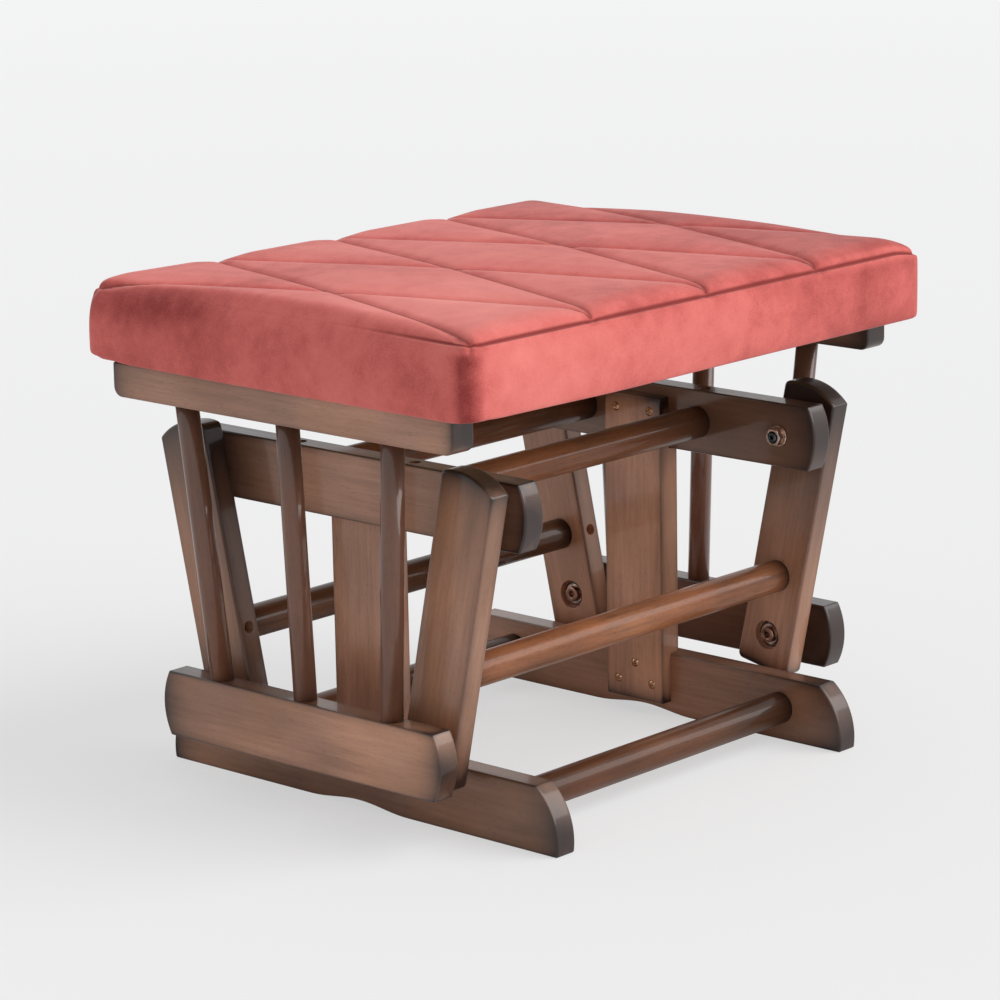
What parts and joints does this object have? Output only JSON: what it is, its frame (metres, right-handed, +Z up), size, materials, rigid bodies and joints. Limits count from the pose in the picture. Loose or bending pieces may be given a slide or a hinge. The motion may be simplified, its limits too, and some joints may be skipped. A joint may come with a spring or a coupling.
{
  "type": "glider ottoman",
  "caption": "Footrest whose quilted velvet cushion rides on a spindled wooden frame that glides back and forth on swing arms hung from a standing base.",
  "frame": {"origin": "on the floor, under the middle of the base", "axes": "+X runs along the width to the right of someone who sits behind the footrest's front, which faces -Y; +Y runs along the glide to the rear; +Z is up"},
  "size_m": [0.5286, 0.41, 0.4085],
  "materials": {
    "walnut": "walnut stain under semi-gloss lacquer, shaded darker at ends and edges",
    "dowel_wood": "redder stain under semi-gloss lacquer",
    "spindle_wood": "dark walnut stain under semi-gloss lacquer",
    "plain_wood": "bare wood and plywood",
    "brass": "satin",
    "bronze_steel": "antique bronze plating",
    "bearing_steel": "ground",
    "velvet": "short-pile velvet, rose red"
  },
  "bodies": {
    "base": {"foot_rail_left": "walnut", "foot_rail_right": "walnut", "front_floor_dowel": "dowel_wood", "rear_floor_dowel": "dowel_wood", "upright_left": "walnut", "upright_right": "walnut", "top_rail_left": "walnut", "top_rail_right": "walnut", "front_top_dowel": "dowel_wood", "rear_top_dowel": "dowel_wood", "upright_screws": "brass", "base_lock_screws": "brass", "top_bearing_rings": "bearing_steel"},
    "front_arms": {"front_arm_left": "walnut", "front_arm_right": "walnut", "front_arm_dowel": "dowel_wood", "front_arm_lock_screws": "brass", "front_pivot_studs": "bronze_steel", "front_pivot_nuts": "bronze_steel", "front_pivot_washers": "bronze_steel", "front_inner_rings": "bearing_steel", "front_sleeves": "brass", "front_bearing_rings": "bearing_steel"},
    "rear_arms": {"rear_arm_left": "walnut", "rear_arm_right": "walnut", "rear_arm_dowel": "dowel_wood", "rear_arm_lock_screws": "brass", "rear_pivot_studs": "bronze_steel", "rear_pivot_nuts": "bronze_steel", "rear_pivot_washers": "bronze_steel", "rear_inner_rings": "bearing_steel", "rear_sleeves": "brass", "rear_bearing_rings": "bearing_steel"},
    "seat": {"lower_rail_left": "walnut", "lower_rail_right": "walnut", "front_spindle_left": "spindle_wood", "middle_spindle_left": "spindle_wood", "rear_spindle_left": "spindle_wood", "front_spindle_right": "spindle_wood", "middle_spindle_right": "spindle_wood", "rear_spindle_right": "spindle_wood", "seat_rail_left": "walnut", "seat_rail_right": "walnut", "front_slat": "plain_wood", "rear_slat": "plain_wood", "seat_board": "plain_wood", "slat_pins": "plain_wood", "seat_board_screws": "bearing_steel", "lower_pivot_bolts": "bronze_steel", "lower_pivot_washers": "bronze_steel", "lower_inner_rings": "bearing_steel", "lower_spacers": "brass", "lower_inserts": "brass", "cushion": "velvet"}
  },
  "joints": [
    {"name": "front_arms_swing", "type": "hinge", "parent": "base", "child": "front_arms", "pos_m": [0, -0.1435, 0.2515], "axis": [1, 0, 0], "range_deg": [-12, 12]},
    {"name": "rear_arms_swing", "type": "hinge", "parent": "base", "child": "rear_arms", "pos_m": [0, 0.1435, 0.2515], "axis": [1, 0, 0], "range_deg": [-12, 12]},
    {"name": "seat_tilt", "type": "hinge", "parent": "front_arms", "child": "seat", "pos_m": [0, -0.106, 0.0745], "axis": [1, 0, 0], "range_deg": [-16.2, 16.2]}
  ],
  "couplings": [
    {"joint": "rear_arms_swing", "follows": "front_arms_swing", "ratio": 1},
    {"joint": "seat_tilt", "follows": "front_arms_swing", "ratio": -1.3479}
  ]
}
